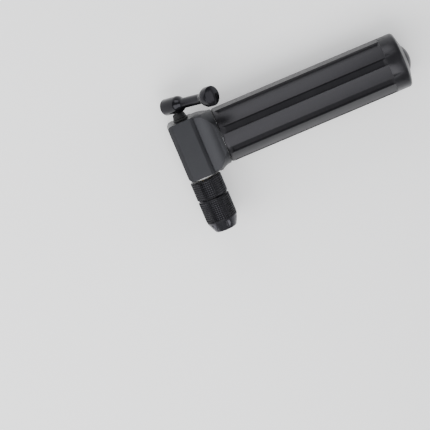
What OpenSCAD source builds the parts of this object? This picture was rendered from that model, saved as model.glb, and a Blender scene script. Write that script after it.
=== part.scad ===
// Mini hand pump with a fluted sliding handle, a right-angled head, a screw-on
// valve chuck and a T-shaped release lever. All sizes are millimetres.
// +X runs along the pump from the head to the tail, -Y is the way the chuck
// points, and +Z leaves the head's front face. The origin is the centre of the
// valve port's mouth.

/* [Barrel and stroke] */
// Bore radius of the barrel
barrel_bore_r = 10.3; // [8.5:0.1:13]
// Wall of the barrel
barrel_wall = 1.5; // [1:0.1:3]
// Travel of the handle from closed to fully drawn out
stroke = 70; // [40:1:120]
// Length of the piston
piston_len = 9; // [7:0.5:14]
// Length of the gland that closes the barrel's tail
rod_gland_len = 8; // [6:0.5:14]
// Radius of the piston rod
rod_r = 4; // [3:0.1:5]

/* [Handle sleeve] */
// Wall of the handle sleeve at its plain bands
sleeve_wall = 2.7; // [2.2:0.1:5]
// Depth of the flats below the sleeve's round
flat_depth = 0.5; // [0.2:0.1:0.8]
// Number of flats, with a flute between each two
flute_count = 8; // [6:1:10]
// Width of each flute
flute_w = 4.2; // [2:0.1:5]
// Depth of each flute below the sleeve's round
flute_depth = 1.2; // [0.6:0.1:1.4]
// Turn of the handle at rest, which moves its first flat towards the chuck
handle_turn = 6; // [0:1:45]
// Plain band at the sleeve's front edge
front_band = 0.8; // [0.4:0.1:4]
// Plain band at the sleeve's tail
tail_band = 7.4; // [4:0.1:14]
// Thickness of the sleeve's end wall
end_wall = 5.2; // [4:0.1:9]
// Height of the shallow cone on the end wall
end_cone_h = 2.9; // [1.5:0.1:4]
// Radius of the domed nut in the end wall
end_nut_r = 6.9; // [5.5:0.1:8]
// Height of the nut's dome
end_dome_h = 2.35; // [1:0.05:4]

/* [Head] */
// Length of the head's square bar along the pump
bar_len = 14.2; // [13:0.1:18]
// Length of the round collar behind the bar
collar_len = 10.1; // [8:0.1:16]
// Step of the collar above the handle sleeve
collar_step = 2; // [1:0.1:3]
// Radius of the hollowed front and back of the collar
cove_r = 18; // [12:0.5:30]
// Length of the spigot that the barrel screws on
spigot_len = 6.7; // [6:0.1:12]
// Distance of the chuck's axis from the head's outer end
port_x = 8.3; // [7.5:0.1:10]

/* [Chuck] */
// Radius of the valve port, made for a 7.7 mm tyre valve
port_r = 3.95; // [3:0.05:5]
// Length of the valve port
port_len = 5.7; // [4:0.1:10]
// Length of the rubber gasket behind the port
gasket_len = 5.2; // [3:0.1:8]
// Length of the chuck's fixed ring
ring_len = 10.8; // [8:0.1:14]
// Length of the nose's ring
nose_ring_len = 12.4; // [10:0.1:16]
// Wall of the rings outside their thread
ring_wall = 1.85; // [1.4:0.05:3]
// Radius of the nose's tip
tip_r = 6; // [5:0.1:7]
// Number of notches round the nose
notch_count = 6; // [3:1:8]

/* [Release lever] */
// Angle of the lever from the pump's length towards the front
lever_angle = 47; // [0:1:90]
// Length of the lever from the spindle to its disc's face
lever_reach = 29.7; // [18:0.1:34]
// Length of the lever from the spindle to its barrel's end
lever_back = 6.9; // [5:0.1:9]
// Radius of the lever's barrel
lever_barrel_r = 4.5; // [4:0.1:6]
// Radius of the lever's waist
lever_waist_r = 2.8; // [2:0.1:3.5]
// Radius of the lever's disc
lever_disc_r = 5.3; // [4.5:0.1:7]
// Height of the ribbed boot between the head and the lever
boot_h = 3.7; // [3.2:0.1:8]
// Radius of the release spindle
spindle_r = 2; // [1.6:0.1:2.4]

/* [Hidden] */
$fn = 96;

// Clearances. A run is the radial gap of a part that slides or turns in another,
// a seat is that of a part screwed or pressed home, and a gap keeps faces apart.
run = 0.05;
seat = 0.02;
gap = 0.3;
eps = 0.05;

// Along the pump, from the head's outer end
barrel_r = barrel_bore_r + barrel_wall;
sleeve_bore_r = barrel_r + 0.5;
sleeve_r = sleeve_bore_r + sleeve_wall;
head_len = bar_len + collar_len;
spigot_end = head_len + spigot_len;
piston_x = spigot_end + 2 * gap;
rod_x = piston_x + piston_len;
gland_x = rod_x + stroke + gap + run;
barrel_end = gland_x + rod_gland_len;
gland_flange = 0.6;
bumper_len = 1.1;
bumper_x = barrel_end + gland_flange + gap;
wall_x = bumper_x + bumper_len;
buffer_h = 0.4;
sleeve_x = head_len + buffer_h + 2 * run;
sleeve_end = wall_x + end_wall;
flats_x = sleeve_x + front_band;
flutes_x = flats_x + 0.5;
flute_ramp = 1.9;
flute_draft = 0.6;
flutes_end = sleeve_end - tail_band;
bush_len = 6.4;
bush_r = sleeve_bore_r + 0.6;

// Piston, seal and rod
piston_r = barrel_bore_r - 2 * run;
seal_len = 3;
seal_x = piston_x + 2.5;
seal_core_r = piston_r - 2;
screw_r = 2;
screw_head_r = 3.6;
screw_head_h = 2.2;
screw_len = 12;
stud_r = 3;
nut_seat_x = sleeve_end + 0.9;
nut_face_x = sleeve_end + end_cone_h;
dome_r = (end_nut_r * end_nut_r + end_dome_h * end_dome_h) / (2 * end_dome_h);

// Chuck, outwards from the head's side face
stem_thread_r = 4;
stem_thread_len = 6.4;
stem_r = 4.4;
stem_head_r = 5.5;
stem_head_h = 2;
washer_h = 1;
washer_r = 6.2;
base_d = washer_h + 0.2;
base_end = base_d + ring_len;
stem_head_d = base_end - stem_head_h - 0.6;
thread_r = port_r + 2.65;
chuck_r = thread_r + run + ring_wall;
nose_d = base_end + gap;
nose_ring_end = nose_d + nose_ring_len;
tip_d = nose_ring_end + port_len + 0.1;
port_d = tip_d - port_len;
gasket_washer_h = 0.6;
gasket_d = port_d - gasket_washer_h - gasket_len - 2 * run;
pin_disc_h = 0.6;
spigot_d = gasket_d - pin_disc_h - run;
passage_r = 1.5;
cavity_r = stem_head_r + 0.2;

// Head
face_z = chuck_r;
crease_z = face_z - 0.9;
bar_flat_x = bar_len - 1.9;
crease_groove_r = 0.35;
bar_chamfer = 2.4;
bar_corner = 2.5;
collar_r = sleeve_r + collar_step;
bar_y = collar_r - 1.1;
collar_flat = 4.4;
rim_r = sleeve_r + 0.1;
cove_end_z = rim_r - 1.1;
cove_chord = norm([collar_len, cove_end_z - crease_z]);
cove_lift = sqrt(cove_r * cove_r - cove_chord * cove_chord / 4);
cove_x = bar_len + collar_len / 2 - cove_lift * (cove_end_z - crease_z) / cove_chord;
cove_z = (crease_z + cove_end_z) / 2 + cove_lift * collar_len / cove_chord;

// Check valve in the spigot: the ball is pushed off its seat towards the head
valve_bore_r = 3.2;
valve_seat_len = 5;
valve_seat_x = spigot_end - valve_seat_len;
valve_shoulder_x = bar_len + 1.8;
ball_r = 2.5;
seat_hole_r = 1.6;
ball_x = valve_seat_x - sqrt(ball_r * ball_r - seat_hole_r * seat_hole_r) - seat;
spring_r = 1.7;
spring_wire_r = 0.25;
spring_turns = 6;
spring_tip_x = ball_x - sqrt(ball_r * ball_r - spring_r * spring_r) - spring_wire_r - run;

// Release, outwards from the head's other side face
release_thread_r = 3.5;
release_depth = 7.5;
release_neck_r = 2.6;
release_neck_h = 2;
boot_foot_r = 4;
boot_top_r = 2.9;
lever_e = boot_h + lever_barrel_r + 0.2;
needle_seat = release_depth + 1.5;
spindle_top = lever_e + 2.2;
spindle_ring_e = -2.5;
ring_section = 0.25;

module along_x(x) {
    translate([x, 0, 0]) rotate([0, 90, 0]) children();
}

module chuck_axis(d) {
    translate([port_x, -bar_y - d, 0]) rotate([90, 0, 0]) children();
}

module release_axis(e) {
    translate([port_x, bar_y + e, 0]) rotate([-90, 0, 0]) children();
}

module lever_axis(s) {
    translate([port_x, bar_y + lever_e, 0]) rotate([0, 90 - lever_angle, 0]) translate([0, 0, s]) children();
}

// Moves a part from the head's outer end to the valve port's mouth
module placed() {
    translate([-port_x, bar_y + tip_d, 0]) children();
}

module ring(outer_r, inner_r, h) {
    difference() {
        cylinder(r = outer_r, h = h);
        translate([0, 0, -eps]) cylinder(r = inner_r, h = h + 2 * eps);
    }
}

module chamfered(r, h, c) {
    rotate_extrude() polygon([[0, 0], [r - c, 0], [r, c], [r, h - c], [r - c, h], [0, h]]);
}

module o_ring(centre_r, section_r) {
    rotate_extrude() translate([centre_r, 0]) circle(r = section_r, $fn = 32);
}

// The bar's outline from the front, rounded at the outer end
module bar_plan() {
    translate([bar_corner, -bar_y]) square([bar_len - bar_corner, 2 * bar_y]);
    translate([0, -bar_y + bar_corner]) square([bar_len, 2 * (bar_y - bar_corner)]);
    for (side = [-1, 1])
        translate([bar_corner, side * (bar_y - bar_corner)]) circle(r = bar_corner);
}

// The bar's outline from the side, with its outer and inner chamfers
module bar_side() {
    polygon([
        [0, -face_z + bar_chamfer], [bar_chamfer, -face_z],
        [bar_flat_x, -face_z], [bar_len, -crease_z],
        [bar_len, crease_z], [bar_flat_x, face_z],
        [bar_chamfer, face_z], [0, face_z - bar_chamfer]
    ]);
}

module head_bar() {
    intersection() {
        translate([0, 0, -face_z - 1]) linear_extrude(2 * face_z + 2) bar_plan();
        translate([0, bar_y + 1, 0]) rotate([90, 0, 0]) linear_extrude(2 * bar_y + 2) bar_side();
    }
}

// The turned collar, which flares from the handle's size out to the bar
module head_collar() {
    flare_len = collar_len - collar_flat - 0.6;
    along_x(0) rotate_extrude() polygon(concat(
        [[0, bar_len - 1], [collar_r, bar_len - 1]],
        [for (i = [0:8]) [
            rim_r + (collar_r - rim_r) * pow(1 - i / 8, 1.7),
            bar_len + collar_flat + flare_len * i / 8
        ]],
        [[rim_r - 0.05, head_len], [0, head_len]]
    ));
}

// Cuts the collar back to the bar beside the chuck, and slopes it off beside the lever
module collar_trim() {
    far = collar_r + 5;
    slope_end_x = head_len - 1.5;
    translate([0, 0, -far]) linear_extrude(2 * far) {
        translate([0, -far]) square([port_x + chuck_r + gap, far - bar_y]);
        polygon([
            [0, bar_y], [bar_len + 1.8, bar_y], [slope_end_x, sleeve_r],
            [slope_end_x, far], [0, far]
        ]);
    }
}

module head() {
    color("#4b4b50") placed() difference() {
        union() {
            head_bar();
            difference() {
                head_collar();
                for (side = [-1, 1])
                    translate([cove_x, -collar_r - 1, side * cove_z]) rotate([-90, 0, 0])
                        cylinder(r = cove_r, h = 2 * collar_r + 2);
                collar_trim();
            }
            along_x(head_len - 1) cylinder(r = barrel_bore_r - seat, h = spigot_len + 1);
        }
        // Fine groove along each crease, where the bar meets the collar
        for (side = [-1, 1]) translate([bar_len, 0, side * crease_z]) rotate([90, 0, 0])
            cylinder(r = crease_groove_r, h = 2 * collar_r + 2, center = true);
        // Groove for the barrel's seal
        along_x(spigot_end - 2.6) ring(barrel_bore_r + 1, barrel_bore_r - 1, 1.6);
        // Check valve's chamber and its passage into the head
        along_x(valve_shoulder_x) cylinder(r = valve_bore_r, h = spigot_end);
        along_x(port_x) cylinder(r = passage_r, h = head_len);
        // Passage from side to side, with a threaded port at each end
        chuck_axis(-bar_y) rotate([180, 0, 0]) cylinder(r = passage_r, h = bar_y - needle_seat + eps);
        chuck_axis(-bar_y) cylinder(r = passage_r, h = bar_y);
        chuck_axis(-stem_thread_len - run) cylinder(r = stem_thread_r + seat, h = stem_thread_len + 1);
        release_axis(-release_depth - run) cylinder(r = release_thread_r + seat, h = release_depth + 1);
        release_axis(-needle_seat) cylinder(r = spindle_r + gap, h = needle_seat);
    }
}

module barrel() {
    color("#b9bcc2") placed() along_x(head_len) ring(barrel_r, barrel_bore_r, barrel_end - head_len);
}

module barrel_o_ring() {
    color("#1c1c1e") placed() along_x(spigot_end - 1.8) o_ring(barrel_bore_r - 0.5 - seat, 0.48);
}

module valve_seat() {
    color("#c9a24b") placed() along_x(valve_seat_x) difference() {
        cylinder(r = valve_bore_r - seat, h = valve_seat_len);
        translate([0, 0, -eps]) cylinder(r = seat_hole_r, h = valve_seat_len + 1);
        translate([-valve_bore_r, -0.4, valve_seat_len - 1]) cube([2 * valve_bore_r, 0.8, 2]);
    }
}

// A round-wire coil spring swept along its helix
module coil_spring(r, wire_r, turns, length) {
    steps = 14;
    sides = 6;
    rings = turns * steps;
    points = [
        for (i = [0:rings], k = [0:sides - 1])
            let (a = 360 * i / steps, b = 360 * k / sides)
                [(r + wire_r * cos(b)) * cos(a), (r + wire_r * cos(b)) * sin(a),
                 length * i / rings + wire_r * sin(b)]
    ];
    walls = [
        for (i = [0:rings - 1], k = [0:sides - 1])
            let (m = (k + 1) % sides)
                [i * sides + k, (i + 1) * sides + k, (i + 1) * sides + m, i * sides + m]
    ];
    first = [for (k = [0:sides - 1]) k];
    last = [for (k = [sides - 1:-1:0]) rings * sides + k];
    polyhedron(points = points, faces = concat(walls, [first], [last]), convexity = 10);
}

module check_spring() {
    start_x = valve_shoulder_x + spring_wire_r + run;
    color("#d0d0d0") placed() along_x(start_x)
        coil_spring(spring_r, spring_wire_r, spring_turns, spring_tip_x - start_x);
}

module check_ball() {
    color("#e0e0e0") placed() translate([ball_x, 0, 0]) sphere(r = ball_r);
}

// The rubber ring between the head and the handle, which the handle comes home on
module buffer_ring() {
    color("#1c1c1e") placed() along_x(head_len) ring(rim_r - 0.6, barrel_r + seat, buffer_h);
}

module rod_gland() {
    color("#2a2a2c") placed() difference() {
        union() {
            along_x(gland_x) cylinder(r = barrel_bore_r - seat, h = rod_gland_len + eps);
            along_x(barrel_end) cylinder(r = barrel_r, h = gland_flange);
        }
        along_x(gland_x - 1) cylinder(r = rod_r + run, h = rod_gland_len + 3);
        along_x(gland_x + 2) cylinder(r = rod_r + 1.5, h = 2);
        // Air reaches the back of the piston through four holes
        for (turn = [0:90:270]) rotate([turn, 0, 0]) translate([0, 0, (rod_r + barrel_bore_r) / 2 + 0.5])
            along_x(gland_x - 1) cylinder(r = 0.9, h = rod_gland_len + 3);
    }
}

module rod_wiper() {
    color("#1c1c1e") placed() along_x(gland_x + 2 + seat) ring(rod_r + 1.5 - seat, rod_r + run, 2 - 2 * seat);
}

module chuck_stem() {
    color("#c9a24b") placed() difference() {
        union() {
            chuck_axis(-stem_thread_len) cylinder(r = stem_thread_r, h = stem_thread_len + eps);
            chuck_axis(0) cylinder(r = stem_r, h = stem_head_d + eps);
            chuck_axis(stem_head_d) cylinder(r = stem_head_r, h = stem_head_h);
        }
        chuck_axis(-stem_thread_len - 1) cylinder(r = passage_r, h = stem_thread_len + stem_head_d + 9);
        // Hexagonal socket in the stem's head
        chuck_axis(stem_head_d + 0.2) cylinder(r = 2.9, h = stem_head_h, $fn = 6);
        chuck_axis((base_d + stem_head_d) / 2 - 0.7) ring(stem_r + 1, stem_r - 1, 1.4);
    }
}

module stem_o_ring() {
    color("#1c1c1e") placed() chuck_axis((base_d + stem_head_d) / 2) o_ring(stem_r - 0.5 + run / 2, 0.5);
}

module spacer_washer() {
    color("#e6e6e4") placed() chuck_axis(0) ring(washer_r, stem_r + run, washer_h);
}

module release_gland() {
    color("#2a2a2c") placed() difference() {
        union() {
            release_axis(-release_depth) cylinder(r = release_thread_r, h = release_depth);
            release_axis(-eps) cylinder(r = release_neck_r, h = release_neck_h + eps);
        }
        release_axis(-release_depth - 1) cylinder(r = spindle_r + run, h = release_depth + 9);
    }
}

// The rubber boot: a tapered tube with a foot and ribs round it
module release_boot() {
    rib_count = 3;
    rib_r = 0.42;
    color("#222224") placed() release_axis(0) difference() {
        union() {
            rotate_extrude() polygon([
                [0, 0], [boot_foot_r, 0], [boot_foot_r, 0.8],
                [boot_foot_r - 0.6, 1.1], [boot_top_r, boot_h], [0, boot_h]
            ]);
            for (i = [1:rib_count])
                translate([0, 0, 0.8 + (boot_h - 1.2) * i / rib_count])
                    o_ring(boot_foot_r - 0.6 - (boot_foot_r - 0.6 - boot_top_r) * i / rib_count, rib_r);
        }
        translate([0, 0, -1]) cylinder(r = release_neck_r + seat, h = release_neck_h + 1 + seat);
        translate([0, 0, -1]) cylinder(r = spindle_r + 0.15, h = boot_h + 9);
    }
}

module piston_seal() {
    color("#8c2f2a") placed() along_x(seal_x + run) ring(barrel_bore_r - run, seal_core_r + run, seal_len - 2 * run);
}

// One flute's cutter: sloped walls, and a ramp at each end
module flute_cutter() {
    floor_r = sleeve_r - flute_depth;
    top_r = sleeve_r + 1;
    slope = flute_draft / flute_depth;
    intersection() {
        translate([0, flute_w, 0]) rotate([90, 0, 0]) linear_extrude(2 * flute_w) polygon([
            [flutes_x, sleeve_r], [flutes_x + flute_ramp, floor_r],
            [flutes_end - flute_ramp, floor_r], [flutes_end, sleeve_r],
            [flutes_end, top_r], [flutes_x, top_r]
        ]);
        translate([flutes_x - 1, 0, 0]) rotate([90, 0, 90]) linear_extrude(flutes_end - flutes_x + 2) polygon([
            [-flute_w / 2 - slope, top_r], [-flute_w / 2 + flute_draft, floor_r],
            [flute_w / 2 - flute_draft, floor_r], [flute_w / 2 + slope, top_r]
        ]);
    }
}

// The handle sleeve: one turned piece, closed at the tail, with milled flats and flutes
module sleeve() {
    edge_r = 1.8;
    cone_start_r = sleeve_r - 2.8;
    color("#4d4c50") placed() difference() {
        along_x(0) rotate_extrude() polygon(concat(
            [[0, sleeve_x], [sleeve_r - 0.5, sleeve_x], [sleeve_r - 0.15, sleeve_x + 0.35]],
            [[sleeve_r, flutes_x]],
            [for (a = [0:15:75]) [
                sleeve_r - edge_r + edge_r * cos(a),
                sleeve_end - 0.6 + edge_r * sin(a)
            ]],
            [[cone_start_r, sleeve_end + 1.6], [end_nut_r, nut_face_x], [0, nut_face_x]]
        ));
        for (i = [0:flute_count - 1]) {
            rotate([handle_turn + 360 * i / flute_count, 0, 0])
                translate([flats_x, -sleeve_r, sleeve_r - flat_depth])
                    cube([flutes_end - flats_x, 2 * sleeve_r, sleeve_r]);
            rotate([handle_turn + 360 * (i + 0.5) / flute_count, 0, 0]) flute_cutter();
        }
        along_x(sleeve_x - 1) cylinder(r = sleeve_bore_r, h = wall_x - sleeve_x + 1);
        along_x(sleeve_x - 1) cylinder(r = bush_r, h = bush_len + 1);
        along_x(wall_x - 1) cylinder(r = stud_r + seat, h = 20);
        along_x(nut_seat_x) cylinder(r = end_nut_r + seat, h = 20);
    }
}

module guide_bush() {
    color("#3a3a3c") placed() along_x(sleeve_x + gap)
        ring(bush_r - seat, barrel_r + run, bush_len - gap);
}

module piston_rod() {
    color("#c4c6ca") placed() difference() {
        union() {
            along_x(rod_x) cylinder(r = rod_r, h = wall_x - rod_x);
            along_x(wall_x - eps) cylinder(r = stud_r, h = nut_seat_x - wall_x + 1.4);
        }
        along_x(rod_x - 1) cylinder(r = screw_r + seat, h = screw_len + 1);
    }
}

module piston() {
    color("#2e2e30") placed() difference() {
        along_x(piston_x) chamfered(piston_r, piston_len, 0.5);
        along_x(seal_x) ring(piston_r + 1, seal_core_r, seal_len);
        along_x(piston_x - 1) cylinder(r = screw_r + 0.1, h = piston_len + 2);
        along_x(piston_x - 1) cylinder(r = screw_head_r + 0.2, h = screw_head_h + gap + 1);
    }
}

module piston_screw() {
    head_x = piston_x + gap;
    color("#b0b2b6") placed() difference() {
        union() {
            along_x(head_x) cylinder(r = screw_head_r, h = screw_head_h);
            along_x(head_x + screw_head_h - eps)
                cylinder(r = screw_r, h = rod_x + screw_len - head_x - screw_head_h - 0.5);
        }
        along_x(head_x - 1) cylinder(r = 1.9, h = 2.4, $fn = 6);
    }
}

module bumper() {
    color("#1c1c1e") placed() along_x(bumper_x) ring(2 * rod_r, rod_r + seat, bumper_len);
}

module end_nut() {
    dome_angle = asin(end_nut_r / dome_r);
    dome_x = nut_face_x + end_dome_h - dome_r;
    color("#46464b") placed() difference() {
        along_x(0) rotate_extrude() polygon(concat(
            [[0, nut_seat_x], [end_nut_r, nut_seat_x]],
            [for (i = [0:8])
                let (a = dome_angle * (1 - i / 8))
                    [dome_r * sin(a), dome_x + dome_r * cos(a)]]
        ));
        along_x(nut_seat_x - 1) cylinder(r = stud_r + seat, h = 2.5);
    }
}

module chuck_base() {
    color("#3c3b41") placed() difference() {
        union() {
            chuck_axis(base_d) chamfered(chuck_r, ring_len, 0.5);
            chuck_axis(base_end - 1) cylinder(r = thread_r, h = spigot_d - base_end + 1);
        }
        chuck_axis(base_d - 1) cylinder(r = stem_r + run, h = spigot_d);
        chuck_axis(stem_head_d - 0.1) cylinder(r = cavity_r, h = spigot_d);
    }
}

// The pin that opens the valve's core, on a disc with three air holes
module core_pin() {
    color("#c9a24b") placed() difference() {
        union() {
            chuck_axis(spigot_d) cylinder(r = thread_r - 0.2, h = pin_disc_h);
            chuck_axis(spigot_d) cylinder(r = 0.9, h = pin_disc_h + gasket_len - 0.5);
        }
        for (turn = [0:120:240]) chuck_axis(spigot_d - 1) rotate([0, 0, turn])
            translate([2.3, 0, 0]) cylinder(r = 0.7, h = 3);
    }
}

module valve_gasket() {
    color("#1c1c1e") placed() chuck_axis(gasket_d) ring(thread_r - 0.2, port_r + run, gasket_len);
}

module gasket_washer() {
    color("#c9a24b") placed() chuck_axis(gasket_d + gasket_len)
        ring(thread_r - 0.2, port_r + 0.25, gasket_washer_h);
}

module chuck_nose() {
    notch_r = 1.7;
    notch_d = nose_ring_end + 0.9;
    color("#3c3b41") placed() difference() {
        chuck_axis(nose_d) rotate_extrude() polygon([
            [0, 0], [chuck_r - 0.5, 0], [chuck_r, 0.5], [chuck_r, nose_ring_len],
            [tip_r, tip_d - nose_d - 0.4], [tip_r - 0.4, tip_d - nose_d], [0, tip_d - nose_d]
        ]);
        chuck_axis(nose_d - 1) cylinder(r = thread_r + run, h = port_d - nose_d + 1);
        chuck_axis(nose_d) cylinder(r = port_r, h = 60);
        for (i = [0:notch_count - 1])
            chuck_axis(notch_d) rotate([0, 0, 360 * i / notch_count + 15])
                translate([chuck_r - 0.5, 0, 0]) cylinder(r = notch_r, h = 9);
    }
}

module spindle_o_ring() {
    color("#1c1c1e") placed() release_axis(spindle_ring_e)
        o_ring(spindle_r - ring_section + run / 2, ring_section);
}

module release_spindle() {
    groove_r = spindle_r - 2 * ring_section;
    color("#2e2e30") placed() release_axis(0) difference() {
        rotate_extrude() polygon([
            [0, -needle_seat - passage_r + run], [spindle_r, spindle_r - passage_r - needle_seat + run],
            [spindle_r, spindle_ring_e - 0.4], [groove_r, spindle_ring_e - 0.4],
            [groove_r, spindle_ring_e + 0.4], [spindle_r, spindle_ring_e + 0.4],
            [spindle_r, spindle_top], [0, spindle_top]
        ]);
    }
}

// The lever's outline, turned round its own length
function flare(from_s, to_s, from_r, to_r, steps) = [
    for (i = [0:steps])
        [from_r + (to_r - from_r) * (1 - cos(180 * i / steps)) / 2, from_s + (to_s - from_s) * i / steps]
];

module release_lever() {
    disc_h = 4.8;
    dome_h = 0.7;
    color("#333238") placed() difference() {
        lever_axis(0) rotate_extrude() polygon(concat(
            [[0, -lever_back], [lever_barrel_r - 0.6, -lever_back], [lever_barrel_r, -lever_back + 0.6]],
            flare(2.8, 7.8, lever_barrel_r, lever_waist_r, 8),
            flare(lever_reach - disc_h - 4.6, lever_reach - disc_h, lever_waist_r, lever_disc_r - 0.4, 8),
            [[lever_disc_r, lever_reach - disc_h + 0.4], [lever_disc_r, lever_reach - dome_h - 0.3],
             [lever_disc_r - 0.5, lever_reach - dome_h], [0, lever_reach]]
        ));
        release_axis(0) cylinder(r = spindle_r + seat, h = spindle_top + seat);
        lever_axis(-lever_back - 1) cylinder(r = 1.5 + seat, h = lever_back + 1);
    }
}

module lever_screw() {
    color("#b0b2b6") placed() difference() {
        lever_axis(-lever_back + 0.2) cylinder(r = 1.5, h = lever_back - 0.2 - spindle_r - seat);
        lever_axis(-lever_back - 1) cylinder(r = 0.8, h = 2.4, $fn = 6);
    }
}

head();
barrel();
barrel_o_ring();
valve_seat();
check_spring();
check_ball();
rod_gland();
rod_wiper();
chuck_stem();
stem_o_ring();
spacer_washer();
release_gland();
release_boot();
buffer_ring();
piston_seal();
sleeve();
guide_bush();
piston_rod();
piston();
piston_screw();
bumper();
end_nut();
chuck_base();
core_pin();
valve_gasket();
gasket_washer();
chuck_nose();
spindle_o_ring();
release_spindle();
release_lever();
lever_screw();
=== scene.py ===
import math

import bmesh
import bpy
from mathutils import Matrix, Vector


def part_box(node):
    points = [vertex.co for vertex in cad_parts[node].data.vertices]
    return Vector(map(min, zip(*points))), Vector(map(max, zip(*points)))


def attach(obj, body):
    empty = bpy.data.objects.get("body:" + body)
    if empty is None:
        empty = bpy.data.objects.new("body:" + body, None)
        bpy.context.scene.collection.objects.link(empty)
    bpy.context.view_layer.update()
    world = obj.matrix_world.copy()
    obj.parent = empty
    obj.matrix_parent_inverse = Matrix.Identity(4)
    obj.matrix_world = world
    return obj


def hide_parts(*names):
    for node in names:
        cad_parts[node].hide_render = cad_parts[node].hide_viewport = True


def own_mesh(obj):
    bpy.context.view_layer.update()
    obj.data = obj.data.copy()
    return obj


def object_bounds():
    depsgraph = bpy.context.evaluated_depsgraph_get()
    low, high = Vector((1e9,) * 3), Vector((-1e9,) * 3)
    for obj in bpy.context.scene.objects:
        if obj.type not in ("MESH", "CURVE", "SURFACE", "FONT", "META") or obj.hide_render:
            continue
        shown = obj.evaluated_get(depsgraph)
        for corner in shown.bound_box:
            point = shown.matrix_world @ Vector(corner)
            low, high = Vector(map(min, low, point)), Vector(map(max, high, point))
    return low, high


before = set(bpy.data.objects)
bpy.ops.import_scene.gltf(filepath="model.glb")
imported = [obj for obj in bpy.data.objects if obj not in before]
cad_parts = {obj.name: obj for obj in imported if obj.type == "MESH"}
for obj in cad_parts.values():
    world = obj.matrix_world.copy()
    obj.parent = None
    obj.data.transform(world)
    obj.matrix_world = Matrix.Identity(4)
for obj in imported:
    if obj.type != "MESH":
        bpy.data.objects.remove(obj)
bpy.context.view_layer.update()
MM = 0.001

# Head: one machined block of aluminium, bead-blasted and anodised dark grey. A
# square bar carries the chuck and the release lever, and a turned collar flares
# down to the handle. Every edge is broken by hand.


def finished(name, bm, crease=30):
    """Makes a piece of a mesh, smooth up to the crease angle in degrees."""
    mesh = bpy.data.meshes.new(name)
    bm.to_mesh(mesh)
    bm.free()
    mesh.shade_smooth()
    mesh.set_sharp_from_angle(angle=math.radians(crease))
    piece = bpy.data.objects.new(name, mesh)
    bpy.context.scene.collection.objects.link(piece)
    return piece


def break_edges(piece, width, sharper_than=25, segments=2):
    """Rounds a piece's sharp edges, and keeps its flats flat."""
    edges = piece.modifiers.new("broken edges", "BEVEL")
    edges.width = width * MM
    edges.segments = segments
    edges.limit_method = "ANGLE"
    edges.angle_limit = math.radians(sharper_than)
    edges.harden_normals = True


def machined(name, node, edge):
    """A milled part: a CAD node's solid as clean faces, with its edges broken."""
    bm = bmesh.new()
    bm.from_mesh(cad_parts[node].data)
    bmesh.ops.remove_doubles(bm, verts=bm.verts, dist=0.002 * MM)
    bmesh.ops.dissolve_limit(bm, angle_limit=math.radians(0.4), verts=bm.verts, edges=bm.edges)
    piece = finished(name, bm)
    break_edges(piece, edge)
    return piece


def metal_finish(name, dark, light, metallic, roughness, marks=(2, 2, 2), turn=(0, 0, 0), relief=0.004):
    """A metal surface whose tone and gloss drift slowly, over fine grit or tool marks.

    marks is how many marks there are in each millimetre along each axis, and
    relief is how deep they are, in millimetres.
    """
    material = bpy.data.materials.new(name)
    material.use_nodes = True
    nodes, links = material.node_tree.nodes, material.node_tree.links
    shader = nodes["Principled BSDF"]
    shader.inputs["Metallic"].default_value = metallic

    place = nodes.new("ShaderNodeTexCoord")
    lay = nodes.new("ShaderNodeMapping")
    lay.inputs["Rotation"].default_value = [math.radians(a) for a in turn]
    lay.inputs["Scale"].default_value = [m / MM for m in marks]
    links.new(place.outputs["Object"], lay.inputs["Vector"])
    grit = nodes.new("ShaderNodeTexNoise")
    grit.inputs["Scale"].default_value = 1
    grit.inputs["Detail"].default_value = 3
    links.new(lay.outputs["Vector"], grit.inputs["Vector"])

    drift = nodes.new("ShaderNodeTexNoise")
    drift.inputs["Scale"].default_value = 0.12 / MM
    drift.inputs["Detail"].default_value = 4
    links.new(place.outputs["Object"], drift.inputs["Vector"])
    both = nodes.new("ShaderNodeMath")
    both.operation = "MULTIPLY_ADD"
    both.inputs[1].default_value = 0.5
    links.new(grit.outputs["Fac"], both.inputs[0])
    half = nodes.new("ShaderNodeMath")
    half.operation = "MULTIPLY"
    half.inputs[1].default_value = 0.5
    links.new(drift.outputs["Fac"], half.inputs[0])
    links.new(half.outputs["Value"], both.inputs[2])

    tone = nodes.new("ShaderNodeValToRGB")
    tone.color_ramp.elements[0].position = 0.35
    tone.color_ramp.elements[0].color = (*dark, 1)
    tone.color_ramp.elements[1].position = 0.65
    tone.color_ramp.elements[1].color = (*light, 1)
    links.new(both.outputs["Value"], tone.inputs["Fac"])
    links.new(tone.outputs["Color"], shader.inputs["Base Color"])

    gloss = nodes.new("ShaderNodeMapRange")
    gloss.inputs["From Min"].default_value = 0.3
    gloss.inputs["From Max"].default_value = 0.7
    gloss.inputs["To Min"].default_value = roughness * 0.85
    gloss.inputs["To Max"].default_value = min(1, roughness * 1.15)
    links.new(both.outputs["Value"], gloss.inputs["Value"])
    links.new(gloss.outputs["Result"], shader.inputs["Roughness"])

    bump = nodes.new("ShaderNodeBump")
    bump.inputs["Distance"].default_value = relief * MM
    links.new(grit.outputs["Fac"], bump.inputs["Height"])
    links.new(bump.outputs["Normal"], shader.inputs["Normal"])
    return material


def give(piece, material):
    """Puts one finish on the whole of a piece or a CAD node."""
    piece.data.materials.clear()
    piece.data.materials.append(material)


def refinish(node, material):
    """Puts a finish in every material slot of a CAD node."""
    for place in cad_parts[node].material_slots:
        place.material = material


blasted_grey = metal_finish(
    "blasted_grey_anodising", dark=(0.021, 0.0215, 0.0245), light=(0.027, 0.0275, 0.031),
    metallic=0.75, roughness=0.42, marks=(5, 5, 5), relief=0.006)
head = machined("machined_head", "head", edge=0.3)
give(head, blasted_grey)
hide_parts("head")
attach(head, "pump_head")

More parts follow.
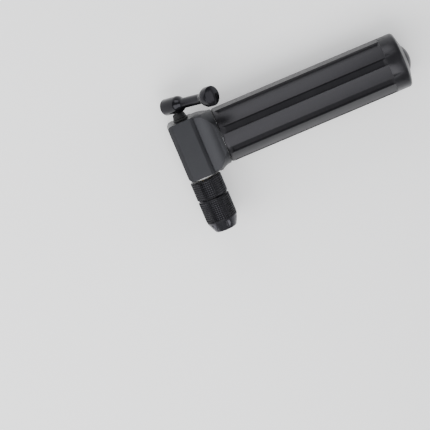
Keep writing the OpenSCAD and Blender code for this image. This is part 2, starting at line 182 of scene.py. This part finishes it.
# Barrel: a drawn aluminium tube, left bare and clear-anodised, screwed on the
# head's spigot with an O-ring. It shows when the handle is drawn out.
bare_metal = metal_finish(
    "drawn_aluminium", dark=(0.5, 0.51, 0.53), light=(0.62, 0.63, 0.65),
    metallic=1, roughness=0.24, marks=(0.05, 4, 4), relief=0.002)
refinish("barrel", bare_metal)


def rubber_finish(name, dark, light, roughness, grain=1.2, relief=0.02):
    """Moulded rubber or plastic: nearly black, with a fine grain and a soft sheen."""
    material = bpy.data.materials.new(name)
    material.use_nodes = True
    nodes, links = material.node_tree.nodes, material.node_tree.links
    shader = nodes["Principled BSDF"]
    shader.inputs["Roughness"].default_value = roughness
    shader.inputs["Specular IOR Level"].default_value = 0.4
    place = nodes.new("ShaderNodeTexCoord")
    skin = nodes.new("ShaderNodeTexNoise")
    skin.inputs["Scale"].default_value = grain / MM
    skin.inputs["Detail"].default_value = 5
    links.new(place.outputs["Object"], skin.inputs["Vector"])
    tone = nodes.new("ShaderNodeValToRGB")
    tone.color_ramp.elements[0].position = 0.3
    tone.color_ramp.elements[0].color = (*dark, 1)
    tone.color_ramp.elements[1].position = 0.7
    tone.color_ramp.elements[1].color = (*light, 1)
    links.new(skin.outputs["Fac"], tone.inputs["Fac"])
    links.new(tone.outputs["Color"], shader.inputs["Base Color"])
    bump = nodes.new("ShaderNodeBump")
    bump.inputs["Distance"].default_value = relief * MM
    links.new(skin.outputs["Fac"], bump.inputs["Height"])
    links.new(bump.outputs["Normal"], shader.inputs["Normal"])
    return material


black_seal = rubber_finish(
    "black_seal_rubber", dark=(0.008, 0.008, 0.009), light=(0.016, 0.016, 0.017), roughness=0.5)
refinish("barrel_o_ring", black_seal)

# Check valve: a brass seat screwed in the spigot, with a polished steel ball on it,
# so that air only passes towards the chuck.
yellow_brass = metal_finish(
    "machined_brass", dark=(0.56, 0.36, 0.12), light=(0.72, 0.49, 0.2),
    metallic=1, roughness=0.26, marks=(3, 3, 3), relief=0.002)
bright_steel = metal_finish(
    "polished_steel", dark=(0.56, 0.56, 0.57), light=(0.66, 0.66, 0.67),
    metallic=1, roughness=0.18, marks=(3, 3, 3), relief=0.001)
refinish("valve_seat", yellow_brass)
refinish("check_ball", bright_steel)

# Check spring: fine steel wire wound in six turns, which presses the ball on its
# seat. Its far end rests in the head. It is built at one length, and does not shorten as the ball lifts.
spring_low, spring_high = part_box("check_spring")
wire_r = 0.25 * MM
coil_r = (spring_high.y - spring_low.y) / 2 - wire_r
spring_turns = 6
steps_a_turn = 24
spring_steps = steps_a_turn * spring_turns
spring_start = spring_low.x + wire_r
spring_len = spring_high.x - wire_r - spring_start
spring_foot = Vector((spring_start, (spring_low.y + spring_high.y) / 2, 0))
bm = bmesh.new()
wire = bmesh.ops.create_circle(bm, cap_ends=True, segments=10, radius=wire_r)["verts"]
bmesh.ops.rotate(bm, verts=wire, cent=(0, 0, 0), matrix=Matrix.Rotation(math.radians(90), 3, "X"))
bmesh.ops.translate(bm, verts=wire, vec=(coil_r, 0, 0))
bmesh.ops.spin(
    bm, geom=bm.faces[:], cent=(0, 0, 0), axis=(0, 0, 1), angle=math.tau * spring_turns,
    steps=spring_steps, dvec=(0, 0, spring_len / spring_steps))
bmesh.ops.recalc_face_normals(bm, faces=bm.faces)
bmesh.ops.transform(
    bm, verts=bm.verts,
    matrix=Matrix.Translation(spring_foot) @ Matrix.Rotation(math.radians(90), 4, "Y"))
spring = finished("wound_spring", bm, crease=60)
give(spring, bright_steel)
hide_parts("check_spring")
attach(spring, "pump_head")
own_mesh(spring)

# Rod gland: a moulded nylon plug that closes the barrel's tail, drilled with
# four air holes, with a rubber wiper in a groove round the rod.
black_nylon = rubber_finish(
    "black_nylon", dark=(0.011, 0.011, 0.012), light=(0.02, 0.02, 0.021), roughness=0.42, grain=0.8)
refinish("rod_gland", black_nylon)
refinish("rod_wiper", black_seal)

# Piston and rod: a nylon piston with a red seal, held on a turned aluminium rod
# by a socket screw, and a rubber bumper where the rod meets the handle.
seal_red = rubber_finish(
    "red_seal_rubber", dark=(0.2, 0.022, 0.016), light=(0.27, 0.035, 0.024), roughness=0.45)
turned_rod = metal_finish(
    "turned_aluminium", dark=(0.52, 0.53, 0.55), light=(0.64, 0.65, 0.67),
    metallic=1, roughness=0.22, marks=(6, 0.3, 0.3), relief=0.002)
refinish("piston", black_nylon)
refinish("piston_seal", seal_red)
refinish("piston_screw", bright_steel)
refinish("piston_rod", turned_rod)
refinish("bumper", black_seal)

# Handle sleeve: one turned aluminium tube, anodised dark, with eight milled flats
# and eight flutes that ramp up at both ends. A nylon bush inside its front edge
# slides on the barrel, and a rubber ring on the head's face stops it.
turned_grey = metal_finish(
    "turned_grey_anodising", dark=(0.0185, 0.018, 0.0205), light=(0.0245, 0.024, 0.027),
    metallic=0.75, roughness=0.36, marks=(7, 0.5, 0.5), relief=0.003)
sleeve = machined("handle_sleeve", "sleeve", edge=0.22)
give(sleeve, turned_grey)
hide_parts("sleeve")
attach(sleeve, "handle")
refinish("guide_bush", black_nylon)
refinish("buffer_ring", black_seal)

# End nut: a domed aluminium nut set in the handle's end wall, turned and
# anodised like the handle. It clamps the rod.


def turned(outline, place, steps=96, closed=False):
    """Spins an outline of (radius, height) points in millimetres, and puts its axis in place."""
    bm = bmesh.new()
    points = [bm.verts.new((r * MM, 0, h * MM)) for r, h in outline]
    pairs = zip(points, points[1:] + points[:1] if closed else points[1:])
    edges = [bm.edges.new(pair) for pair in pairs]
    bmesh.ops.spin(
        bm, geom=points + edges, cent=(0, 0, 0), axis=(0, 0, 1), angle=math.tau,
        steps=steps, use_merge=True)
    bmesh.ops.remove_doubles(bm, verts=bm.verts, dist=0.002 * MM)
    bmesh.ops.recalc_face_normals(bm, faces=bm.faces)
    bmesh.ops.transform(bm, matrix=place, verts=bm.verts)
    return bm


def arc(centre_r, centre_h, radius, start, end, count):
    """Points of an arc in an outline, from one angle to another in degrees."""
    return [
        (centre_r + radius * math.cos(math.radians(start + (end - start) * i / count)),
         centre_h + radius * math.sin(math.radians(start + (end - start) * i / count)))
        for i in range(count + 1)]


nut_low, nut_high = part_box("end_nut")
nut_r = (nut_high.y - nut_low.y) / 2 / MM
nut_h = (nut_high.x - nut_low.x) / MM
nut_dome_h = 2.35
nut_dome_r = (nut_r ** 2 + nut_dome_h ** 2) / (2 * nut_dome_h)
nut_dome_angle = math.degrees(math.asin(nut_r / nut_dome_r))
handle_axis = Vector(((nut_low.x + nut_high.x) / 2, (nut_low.y + nut_high.y) / 2, 0))
nut_place = Matrix.Translation((nut_low.x, handle_axis.y, 0)) @ Matrix.Rotation(math.radians(90), 4, "Y")
nut_outline = [(0, 0), (nut_r, 0), (nut_r, nut_h - nut_dome_h - 0.15), (nut_r - 0.1, nut_h - nut_dome_h)]
nut_outline += arc(0, nut_h - nut_dome_r, nut_dome_r, 88 - nut_dome_angle, 90, 14)
end_nut = finished("end_nut_dome", turned(nut_outline, nut_place))
give(end_nut, turned_grey)
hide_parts("end_nut")
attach(end_nut, "handle")

# Washer and stem: the chuck hangs on a hollow brass bolt with an O-ring, over a
# slippery white plastic washer whose edge shows as a thin crescent beside the head.
washer_low, washer_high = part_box("spacer_washer")
washer_r = (washer_high.x - washer_low.x) / 2 / MM
washer_h = (washer_high.y - washer_low.y) / MM
chuck_place = Matrix.Translation((0, washer_high.y, 0)) @ Matrix.Rotation(math.radians(90), 4, "X")
washer_bore = 4.45
washer = finished("white_washer", turned([
    (washer_bore, 0), (washer_r - 0.2, 0), (washer_r, 0.2),
    (washer_r, washer_h - 0.2), (washer_r - 0.2, washer_h), (washer_bore, washer_h),
], chuck_place, closed=True))
white_plastic = rubber_finish(
    "white_washer_plastic", dark=(0.74, 0.74, 0.73), light=(0.84, 0.84, 0.83), roughness=0.4)
give(washer, white_plastic)
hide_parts("spacer_washer")
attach(washer, "pump_head")
refinish("chuck_stem", yellow_brass)
refinish("stem_o_ring", black_seal)

# Chuck base: the first ring, turned from aluminium with a diamond knurl rolled
# round it, and a threaded spigot that the nose screws on. Dark anodised.


def band(radius, start, end, rows):
    """The outline of a plain band, with a point at each row of the knurl."""
    return [(radius, start + (end - start) * i / rows) for i in range(rows + 1)]


def knurl(bm, radius, start, end, depth):
    """Raises a diamond on every cell of a ring's band. The ring's axis is Z here."""
    near = 0.01 * MM

    def on_band(v):
        at_height = start * MM - near < v.co.z < end * MM + near
        return at_height and abs(v.co.xy.length - radius * MM) < near

    cells = [f for f in bm.faces if all(on_band(v) for v in f.verts)]
    known = set(cells)
    inner = [
        e for e in {e for f in cells for e in f.edges}
        if all(f in known for f in e.link_faces)]
    for v in bmesh.ops.poke(bm, faces=cells)["verts"]:
        v.co.xy = v.co.xy.normalized() * radius * MM
    split = bmesh.ops.subdivide_edges(bm, edges=inner, cuts=1)["geom_split"]
    for v in {v for v in split if isinstance(v, bmesh.types.BMVert)}:
        v.co.xy = v.co.xy.normalized() * (radius + depth) * MM


ring_low, ring_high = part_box("chuck_base")
ring_r = (ring_high.x - ring_low.x) / 2 / MM
ring_start = (washer_high.y - ring_high.y) / MM
spigot_end = (washer_high.y - ring_low.y) / MM
knurl_depth = 0.42
knurl_columns = 48
knurl_root = ring_r - knurl_depth
ring_len = 10.8
ring_end = ring_start + ring_len
ring_edge = 0.3
spigot_root = 6.15
thread_r = 6.6
thread_pitch = 1
stem_bore = 4.45
stem_cavity = 5.7
cavity_depth = 2.7
cavity_start = ring_end - cavity_depth
base_outline = [(stem_bore, ring_start), (knurl_root - ring_edge, ring_start)]
base_outline += band(knurl_root, ring_start + ring_edge, ring_end - ring_edge, 9)
base_outline += [
    (knurl_root - ring_edge, ring_end), (spigot_root, ring_end),
    (spigot_root, spigot_end - 0.3), (spigot_root - 0.3, spigot_end),
    (stem_cavity, spigot_end), (stem_cavity, cavity_start), (stem_bore, cavity_start)]
bm = turned(base_outline, Matrix.Identity(4), steps=knurl_columns, closed=True)
knurl(bm, knurl_root, ring_start + ring_edge, ring_end - ring_edge, knurl_depth)

# The spigot's thread: a V-shaped ridge wound round it
thread_start = ring_end + 0.7
thread_turns = 5
thread_w = 0.9
foot = [
    bm.verts.new((r * MM, 0, h * MM))
    for r, h in ((spigot_root - 0.1, thread_start), (thread_r, thread_start + thread_w / 2),
                 (spigot_root - 0.1, thread_start + thread_w))]
ridge = bm.faces.new(foot)
bmesh.ops.spin(
    bm, geom=[ridge], cent=(0, 0, 0), axis=(0, 0, 1), angle=math.tau * thread_turns,
    steps=knurl_columns * thread_turns, dvec=(0, 0, thread_pitch * MM / knurl_columns))
bmesh.ops.recalc_face_normals(bm, faces=bm.faces)
bmesh.ops.transform(bm, matrix=chuck_place, verts=bm.verts)
knurled_grey = metal_finish(
    "knurled_grey_anodising", dark=(0.026, 0.0255, 0.03), light=(0.036, 0.0355, 0.041),
    metallic=0.8, roughness=0.27, marks=(2, 6, 2), relief=0.003)


def paint_knurl_shade_and_highlight(material, root, crest, shade):
    """Paints shade into the grooves between two radii round the chuck, and a painted highlight on the
    crests, so that the knurl shows.
    """
    nodes, links = material.node_tree.nodes, material.node_tree.links
    shader = nodes["Principled BSDF"]
    tone = shader.inputs["Base Color"].links[0].from_socket
    place = nodes.new("ShaderNodeTexCoord")
    flat = nodes.new("ShaderNodeVectorMath")
    flat.operation = "MULTIPLY"
    flat.inputs[1].default_value = (1, 0, 1)
    links.new(place.outputs["Object"], flat.inputs[0])
    from_axis = nodes.new("ShaderNodeVectorMath")
    from_axis.operation = "LENGTH"
    links.new(flat.outputs["Vector"], from_axis.inputs[0])
    height = nodes.new("ShaderNodeMapRange")
    height.inputs["From Min"].default_value = root * MM
    height.inputs["From Max"].default_value = crest * MM
    height.inputs["To Min"].default_value = shade
    height.inputs["To Max"].default_value = 2
    links.new(from_axis.outputs["Value"], height.inputs["Value"])
    shaded = nodes.new("ShaderNodeVectorMath")
    shaded.operation = "SCALE"
    links.new(tone, shaded.inputs[0])
    links.new(height.outputs["Result"], shaded.inputs["Scale"])
    links.new(shaded.outputs["Vector"], shader.inputs["Base Color"])


# A copy of the knurl's finish with painted shade in the grooves and a painted highlight on the crests.
knurl_painted_shade_grey = knurled_grey.copy()
knurl_painted_shade_grey.name = "knurl_painted_shade_anodising"
paint_knurl_shade_and_highlight(knurl_painted_shade_grey, knurl_root + 0.02, ring_r - 0.08, shade=0.25)
chuck_base = finished("chuck_base_ring", bm, crease=20)
give(chuck_base, knurl_painted_shade_grey)
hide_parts("chuck_base")
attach(chuck_base, "chuck")
refinish("core_pin", yellow_brass)

# Gasket: a thick black rubber ring that grips the tyre valve, under a thin brass
# washer which lets it stay still while the nose is screwed down.
refinish("valve_gasket", black_seal)
refinish("gasket_washer", yellow_brass)

# Chuck nose: the second knurled ring, with a cone down to the valve port. Six
# scalloped notches are milled round the cone, for the fingertips.
nose_low, nose_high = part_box("chuck_nose")
nose_start = (washer_high.y - nose_high.y) / MM
nose_tip = (washer_high.y - nose_low.y) / MM
nose_ring_len = 12.4
nose_ring_end = nose_start + nose_ring_len
tip_r = 6
port_r = 3.95
port_len = 5.7
port_start = nose_tip - port_len
nose_bore = 6.65
nose_outline = [(nose_bore, nose_start), (knurl_root - ring_edge, nose_start)]
nose_outline += band(knurl_root, nose_start + ring_edge, nose_ring_end - 0.3, 11)
nose_outline += [
    (ring_r - 0.1, nose_ring_end), (tip_r, nose_tip - 0.4), (tip_r - 0.4, nose_tip),
    (port_r + 0.3, nose_tip), (port_r, nose_tip - 0.3),
    (port_r, port_start), (nose_bore, port_start)]
bm = turned(nose_outline, Matrix.Identity(4), steps=knurl_columns, closed=True)

notch_count = 6
notch_turn = 15
notch_r = 1.7
notch_centre_r = 8
notch_start = nose_ring_end + 0.9
mill_len = 9
cutters = bmesh.new()
for i in range(notch_count):
    turn = Matrix.Rotation(math.radians(360 / notch_count * i + notch_turn), 4, "Z")
    shift = Matrix.Translation((notch_centre_r * MM, 0, (notch_start + mill_len / 2) * MM))
    bmesh.ops.create_cone(
        cutters, cap_ends=True, segments=48, radius1=notch_r * MM, radius2=notch_r * MM,
        depth=mill_len * MM, matrix=turn @ shift)
blank = finished("nose_blank", bm)
mill = finished("notch_cutters", cutters)
cut = blank.modifiers.new("notches", "BOOLEAN")
cut.operation = "DIFFERENCE"
cut.solver = "EXACT"
cut.object = mill
milled = bpy.data.meshes.new_from_object(blank.evaluated_get(bpy.context.evaluated_depsgraph_get()))
bpy.data.objects.remove(blank)
bpy.data.objects.remove(mill)
bm = bmesh.new()
bm.from_mesh(milled)
bmesh.ops.remove_doubles(bm, verts=bm.verts, dist=0.002 * MM)
notch_edges = [
    e for e in bm.edges
    if min(v.co.z for v in e.verts) > (nose_ring_end + 0.1) * MM
    and len(e.link_faces) == 2 and e.calc_face_angle() > math.radians(28)
    and min(v.co.xy.length for v in e.verts) > (tip_r - 0.3) * MM]
bmesh.ops.bevel(
    bm, geom=notch_edges, offset=0.12 * MM, affect="EDGES", segments=2, profile=0.5,
    material=-1, clamp_overlap=True)
knurl(bm, knurl_root, nose_start + ring_edge, nose_ring_end - 0.3, knurl_depth)
bmesh.ops.recalc_face_normals(bm, faces=bm.faces)
bmesh.ops.transform(bm, matrix=chuck_place, verts=bm.verts)
nose = finished("chuck_nose_cone", bm, crease=20)
give(nose, knurled_grey)
# The knurled band's faces take the copy with painted shade in the grooves and a painted highlight on the
# crests.
nose.data.materials.append(knurl_painted_shade_grey)
for face in nose.data.polygons:
    from_axis = math.hypot(face.center.x, face.center.z)
    on_ring = washer_high.y - face.center.y < (nose_ring_end - 0.29) * MM
    face.material_index = int(on_ring and from_axis > (knurl_root - 0.05) * MM)
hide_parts("chuck_nose")
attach(nose, "nose")

# Release: a blackened steel needle spindle in a nylon gland, sealed by a small
# O-ring and covered outside by a ribbed rubber boot.
refinish("release_gland", black_nylon)
black_steel = metal_finish(
    "blackened_steel", dark=(0.014, 0.014, 0.015), light=(0.022, 0.022, 0.024),
    metallic=0.8, roughness=0.35, marks=(2, 6, 2), relief=0.002)
refinish("release_spindle", black_steel)
refinish("spindle_o_ring", black_seal)
boot_low, boot_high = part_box("release_boot")
boot_h = (boot_high.y - boot_low.y) / MM
boot_foot = (boot_high.x - boot_low.x) / 2 / MM
boot_top = 2.9
boot_bore = 2.15
gland_bore = 2.62
bore_step = 2.02
foot_h = 0.8
rib_r = 0.42
rib_count = 3
boot_taper = boot_foot - 0.6 - boot_top
release_place = Matrix.Translation((0, boot_low.y, 0)) @ Matrix.Rotation(math.radians(-90), 4, "X")
boot_outline = [
    (gland_bore, 0), (boot_foot - 0.15, 0), (boot_foot, 0.15), (boot_foot, 0.65),
    (boot_foot - 0.15, foot_h)]
for i in range(1, rib_count + 1):
    rib_h = foot_h + (boot_h - rib_r - foot_h - 0.4) * i / rib_count
    boot_outline += arc(boot_foot - 0.6 - boot_taper * i / rib_count, rib_h, rib_r, -62, 62, 6)
boot_outline += [
    (boot_top, boot_h), (boot_bore, boot_h), (boot_bore, bore_step), (gland_bore, bore_step)]
boot = finished("ribbed_boot", turned(boot_outline, release_place, closed=True), crease=40)
boot_rubber = rubber_finish(
    "boot_rubber", dark=(0.006, 0.006, 0.0065), light=(0.01, 0.01, 0.011), roughness=0.6, relief=0.03)
give(boot, boot_rubber)
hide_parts("release_boot")
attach(boot, "pump_head")

# Release lever: a bone-shaped bar, turned from aluminium and polished before its
# dark anodising: a barrel, a waist and a domed disc. A socket screw in the
# barrel's end pins it to the spindle.


def swell(start, end, from_r, to_r, count=14):
    """Points of a smooth swell in an outline, from one radius to another."""
    return [
        (from_r + (to_r - from_r) * (1 - math.cos(math.pi * i / count)) / 2,
         start + (end - start) * i / count)
        for i in range(count + 1)]


lever_low, lever_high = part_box("release_lever")
lever_axis_y = (lever_low.y + lever_high.y) / 2
lever_angle = 47
lever_place = (
    Matrix.Translation((0, lever_axis_y, 0)) @ Matrix.Rotation(math.radians(90 - lever_angle), 4, "Y"))
lever_back = 6.9
lever_reach = 29.7
barrel_r = 4.5
waist_r = 2.8
disc_r = (lever_high.y - lever_low.y) / 2 / MM
shoulder_h = 2.6
waist_start = 7.8
neck_h = 4.6
disc_h = 4.8
dome_h = 0.7
screw_bore = 1.52
lever_outline = [
    (0, -2), (screw_bore, -2), (screw_bore, 0.15 - lever_back), (screw_bore + 0.15, -lever_back)]
lever_outline += arc(barrel_r - 0.6, 0.6 - lever_back, 0.6, -90, 0, 5)
lever_outline += [(barrel_r, shoulder_h)]
lever_outline += swell(shoulder_h + 0.2, waist_start, barrel_r, waist_r)
lever_outline += swell(
    lever_reach - disc_h - neck_h, lever_reach - disc_h, waist_r, disc_r - 0.4)
lever_outline += arc(disc_r - 0.3, lever_reach - disc_h + 0.5, 0.3, -90, 0, 4)
lever_outline += arc(disc_r - 0.45, lever_reach - dome_h - 0.45, 0.45, 0, 75, 5)
lever_outline += [
    ((disc_r - 0.6) * (1 - i / 8), lever_reach - dome_h * (1 - i / 8) ** 2) for i in range(1, 9)]
lever = finished("bone_lever", turned(lever_outline, lever_place, steps=128), crease=35)
polished_grey = metal_finish(
    "polished_grey_anodising", dark=(0.01, 0.0098, 0.012), light=(0.015, 0.0145, 0.018),
    metallic=0.8, roughness=0.15, marks=(0.6, 0.6, 6), turn=(0, lever_angle - 90, 0), relief=0.0015)
give(lever, polished_grey)
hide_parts("release_lever")
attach(lever, "lever")
refinish("lever_screw", bright_steel)

# Floor: a plain pale table top under the handle, which glows faintly so that its
# shadows stay soft. Four soft lights stand round the pump in a pale room.
low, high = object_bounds()
middle = (low + high) / 2
bm = bmesh.new()
bmesh.ops.create_grid(bm, x_segments=1, y_segments=1, size=3)
bmesh.ops.translate(bm, verts=bm.verts, vec=(middle.x, middle.y, low.z))
floor = finished("table_top", bm)
pale = bpy.data.materials.new("pale_table")
pale.use_nodes = True
table = pale.node_tree.nodes["Principled BSDF"]
table.inputs["Base Color"].default_value = (0.95, 0.95, 0.95, 1)
table.inputs["Roughness"].default_value = 0.85
table.inputs["Emission Color"].default_value = (1, 1, 1, 1)
table.inputs["Emission Strength"].default_value = 0.25
give(floor, pale)

room = bpy.data.worlds.new("pale_room")
room.use_nodes = True
room.node_tree.nodes["Background"].inputs["Color"].default_value = (0.95, 0.97, 1, 1)
room.node_tree.nodes["Background"].inputs["Strength"].default_value = 0.6
bpy.context.scene.world = room


def soft_light(name, towards, centre_x, length, width, radiance, distance=0.6):
    """A rectangular soft light, away from the pump in one direction and turned to it."""
    away = Vector(towards).normalized()
    level = Vector((0, 0, 1)).cross(away) if abs(away.x) > 0.5 else Vector((1, 0, 0))
    level.normalize()
    lamp = bpy.data.lights.new(name, "AREA")
    lamp.shape = "RECTANGLE"
    lamp.size = length
    lamp.size_y = width
    lamp.energy = radiance * math.pi * length * width
    holder = bpy.data.objects.new(name, lamp)
    centre = Vector((centre_x, middle.y, middle.z)) + away * distance
    holder.matrix_world = Matrix.Translation(centre) @ Matrix(
        (level, away.cross(level), away)).transposed().to_4x4()
    holder.visible_camera = False
    bpy.context.scene.collection.objects.link(holder)


soft_light("chuck_side_light", (0, -0.45, 0.89), -0.08, 0.42, 0.42, 4.6)
soft_light("lever_side_light", (0, 0.9, 0.4), -0.08, 0.42, 0.35, 3.5)
soft_light("head_end_light", (-0.75, -0.15, 0.63), 0, 0.5, 0.4, 4.2)
soft_light("tail_end_light", (1, -0.1, 0.55), 0.1, 0.4, 0.5, 2)

# Camera: far off with a long lens, over the head's front face and 10.5 degrees
# round to the lever's side, rolled so that the handle rises to the right.
tilt = math.radians(10.5)
roll = math.radians(22.95)
camera_distance = 1.6
seen_width = 0.2258
sensor_width = 36
back = Vector((0, math.sin(tilt), math.cos(tilt)))
along = Vector((1, 0, 0))
across = back.cross(along)
right = math.cos(roll) * along - math.sin(roll) * across
up = math.sin(roll) * along + math.cos(roll) * across
target = Vector((-0.0029, 0.0087, 0))
lens = bpy.data.cameras.new("camera")
lens.sensor_width = sensor_width
lens.lens = sensor_width * camera_distance / seen_width
lens.clip_start = 0.1
lens.clip_end = 20
camera = bpy.data.objects.new("camera", lens)
camera.matrix_world = Matrix.Translation(target + back * camera_distance) @ Matrix(
    (right, up, back)).transposed().to_4x4()
bpy.context.scene.collection.objects.link(camera)
bpy.context.scene.camera = camera
